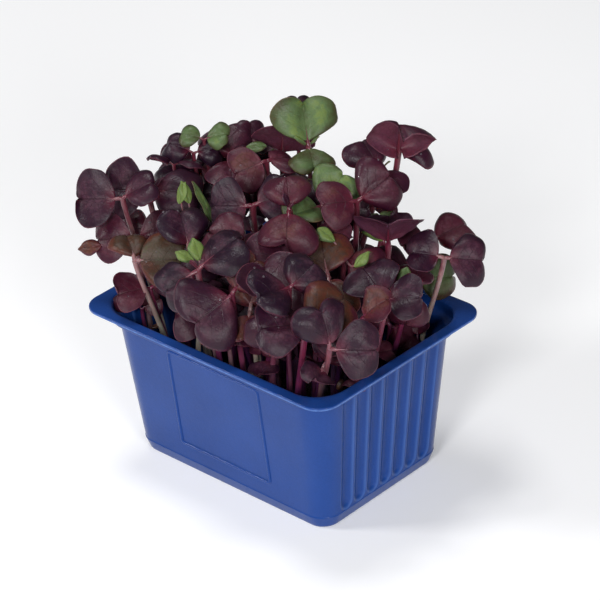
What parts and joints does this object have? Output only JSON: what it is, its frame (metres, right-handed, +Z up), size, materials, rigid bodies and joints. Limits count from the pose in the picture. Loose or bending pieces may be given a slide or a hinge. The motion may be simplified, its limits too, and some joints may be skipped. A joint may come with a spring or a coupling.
{
  "type": "tray of radish microgreens",
  "caption": "Small thin-walled plastic punnet with fluted short sides, filled with a growing mat and a dense crop of purple radish seedlings with notched seed leaves.",
  "frame": {"origin": "Under the middle of the punnet's flat base, on the surface that it stands on.", "axes": "+Z is up. X runs along the punnet's long side, between its two fluted short walls. Y runs along its short side, and the smooth wall with the raised frame line faces -Y."},
  "size_m": [0.1171, 0.0913, 0.1081],
  "materials": {
    "punnet_plastic": "glossy moulded plastic",
    "growing_mat": "damp, dark and fibrous",
    "seedling": "satin leaves and glossy stems, dark purple"
  },
  "bodies": {
    "root": {"punnet": "punnet_plastic", "growing_mat": "growing_mat", "seedlings_01": "seedling", "seedlings_02": "seedling", "seedlings_03": "seedling", "seedlings_04": "seedling", "seedlings_05": "seedling", "seedlings_06": "seedling", "seedlings_07": "seedling", "seedlings_08": "seedling", "seedlings_09": "seedling", "seedlings_10": "seedling", "seedlings_11": "seedling", "seedlings_12": "seedling", "seedlings_13": "seedling", "seedlings_14": "seedling", "seedlings_15": "seedling", "seedlings_16": "seedling", "seedlings_17": "seedling", "seedlings_18": "seedling", "seedlings_19": "seedling", "seedlings_20": "seedling", "seedlings_21": "seedling", "seedlings_22": "seedling", "seedlings_23": "seedling", "seedlings_24": "seedling", "seedlings_25": "seedling", "seedlings_26": "seedling", "seedlings_27": "seedling", "seedlings_28": "seedling", "seedlings_29": "seedling", "seedlings_30": "seedling", "seedlings_31": "seedling", "seedlings_32": "seedling", "seedlings_33": "seedling", "seedlings_34": "seedling", "seedlings_35": "seedling", "seedlings_36": "seedling", "seedlings_37": "seedling", "seedlings_38": "seedling", "seedlings_39": "seedling", "seedlings_40": "seedling", "seedlings_41": "seedling", "seedlings_42": "seedling"}
  },
  "joints": []
}
